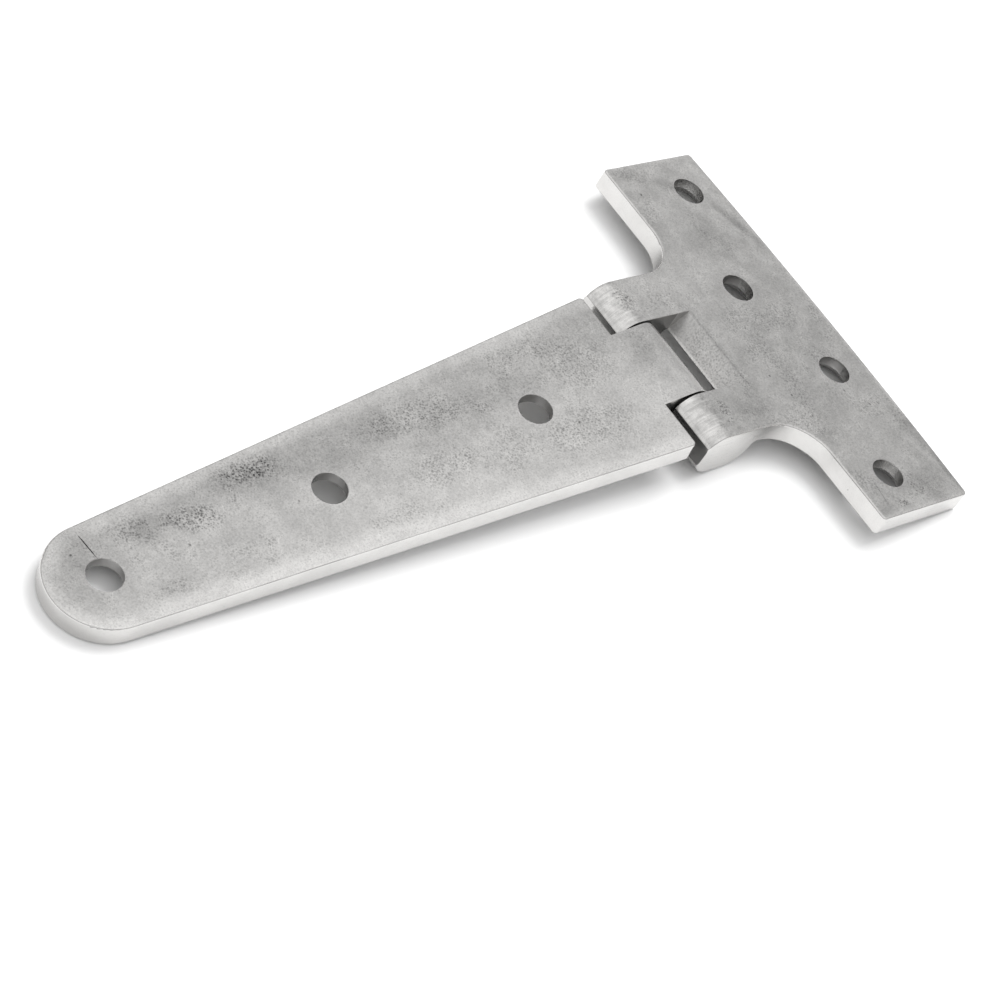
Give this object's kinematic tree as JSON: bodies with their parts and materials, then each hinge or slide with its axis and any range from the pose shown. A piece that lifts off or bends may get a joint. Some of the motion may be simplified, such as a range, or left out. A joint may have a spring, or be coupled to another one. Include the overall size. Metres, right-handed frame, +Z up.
{
  "type": "t hinge",
  "caption": "Cast stainless T hinge: tapered strap leaf with a round tip, cross-shaped tee leaf with two ears, and a plain pin.",
  "frame": {"origin": "middle of the hinge's footprint on the surface it lies on, face down", "axes": "+X from the strap's tip towards the tee, +Y along the pin, +Z up, out of the leaves' back faces"},
  "size_m": [0.203, 0.1018, 0.0122],
  "materials": {
    "leaf_stainless": "cast stainless steel, back faces ground satin, edges and ear flanks polished",
    "pin_stainless": "turned stainless steel, ends polished level with the ears"
  },
  "bodies": {
    "tee": {"tee_leaf": "leaf_stainless", "hinge_pin": "pin_stainless"},
    "strap": {"strap_leaf": "leaf_stainless"}
  },
  "joints": [
    {"name": "leaf_fold", "type": "hinge", "parent": "tee", "child": "strap", "pos_m": [0.04967, 0, 0.00645], "axis": [0, 1, 0], "range_deg": [-119.2, 110.8]}
  ]
}
